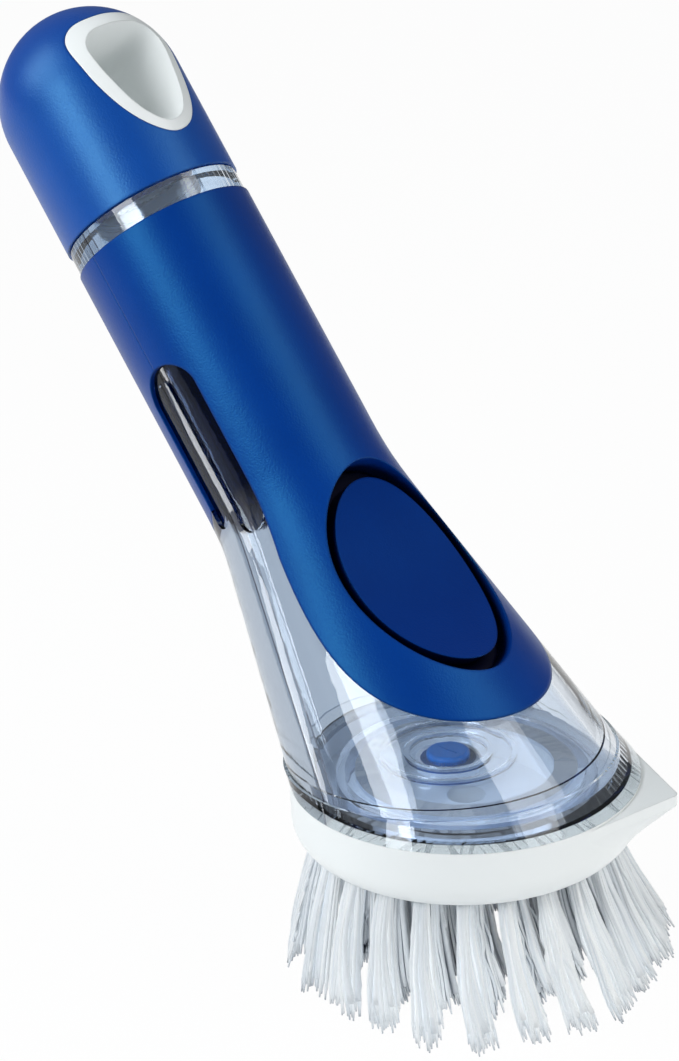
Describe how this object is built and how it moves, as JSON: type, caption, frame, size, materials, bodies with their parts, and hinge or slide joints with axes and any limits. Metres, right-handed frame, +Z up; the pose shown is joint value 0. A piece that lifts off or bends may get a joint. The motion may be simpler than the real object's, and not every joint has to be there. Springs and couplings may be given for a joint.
{
  "type": "dish wand",
  "caption": "Leaning soap-filled wand: clear bell tank with soft grips, squeeze button and screw cap, on a twist-off round brush head with a scraper.",
  "frame": {"origin": "under the middle of the wand's box, in the plane of the bristle tips", "axes": "+Z up along the brush axis, +X towards the button side, the handle leans back over -X; the handle axis leans 38 degrees from +Z"},
  "size_m": [0.1496, 0.0756, 0.1713],
  "materials": {
    "clear_plastic": "clear, polished",
    "soft_blue": "satin, fine grain",
    "cap_blue": "satin, fine grain",
    "button_navy": "satin",
    "membrane_navy": "satin",
    "membrane_frame": "satin",
    "white_plastic": "semi-gloss",
    "natural_plastic": "satin",
    "valve_blue": "satin",
    "nylon": "matte fibres",
    "steel": "stamped strip",
    "seal_rubber": "milky silicone, matte"
  },
  "bodies": {
    "tank": {"tank_front_shell": "clear_plastic", "tank_rear_shell": "clear_plastic", "front_grip": "soft_blue", "rear_grip": "soft_blue", "tank_neck": "clear_plastic", "tank_floor": "clear_plastic", "outlet_valve": "valve_blue", "valve_retainer": "natural_plastic", "button_diaphragm": "membrane_navy", "diaphragm_frame": "membrane_frame"},
    "button": {"button_pad": "button_navy"},
    "gasket": {"cap_gasket": "seal_rubber"},
    "cap": {"cap_shell": "cap_blue", "hang_eyelet": "white_plastic", "cap_liner": "natural_plastic"},
    "seal": {"head_seal": "seal_rubber"},
    "head": {"brush_base": "white_plastic", "tufts_outer": "nylon", "tufts_middle": "nylon", "tufts_inner": "nylon", "tuft_anchors": "steel"}
  },
  "joints": [
    {"name": "button_press", "type": "slide", "parent": "tank", "child": "button", "axis": [-0.788, 0, -0.6157], "range_m": [0, 0.003], "stiffness_N_per_m": 1200, "deforming": ["button_diaphragm"]},
    {"name": "cap_lift", "type": "slide", "parent": "tank", "child": "gasket", "axis": [-0.6157, 0, 0.788], "range_m": [0, 0.00525]},
    {"name": "cap_turn", "type": "hinge", "parent": "gasket", "child": "cap", "pos_m": [-0.04489, 0, 0.13816], "axis": [-0.6157, 0, 0.788], "range_deg": [0, 630]},
    {"name": "head_drop", "type": "slide", "parent": "tank", "child": "seal", "axis": [0, 0, -1], "range_m": [0, 0.002]},
    {"name": "head_turn", "type": "hinge", "parent": "seal", "child": "head", "pos_m": [0.03659, 0, 0.0395], "axis": [0, 0, -1], "range_deg": [0, 60]}
  ],
  "couplings": [
    {"joint": "cap_turn", "follows": "cap_lift", "rad_per_m": 2094.4},
    {"joint": "head_turn", "follows": "head_drop", "rad_per_m": 523.6}
  ]
}
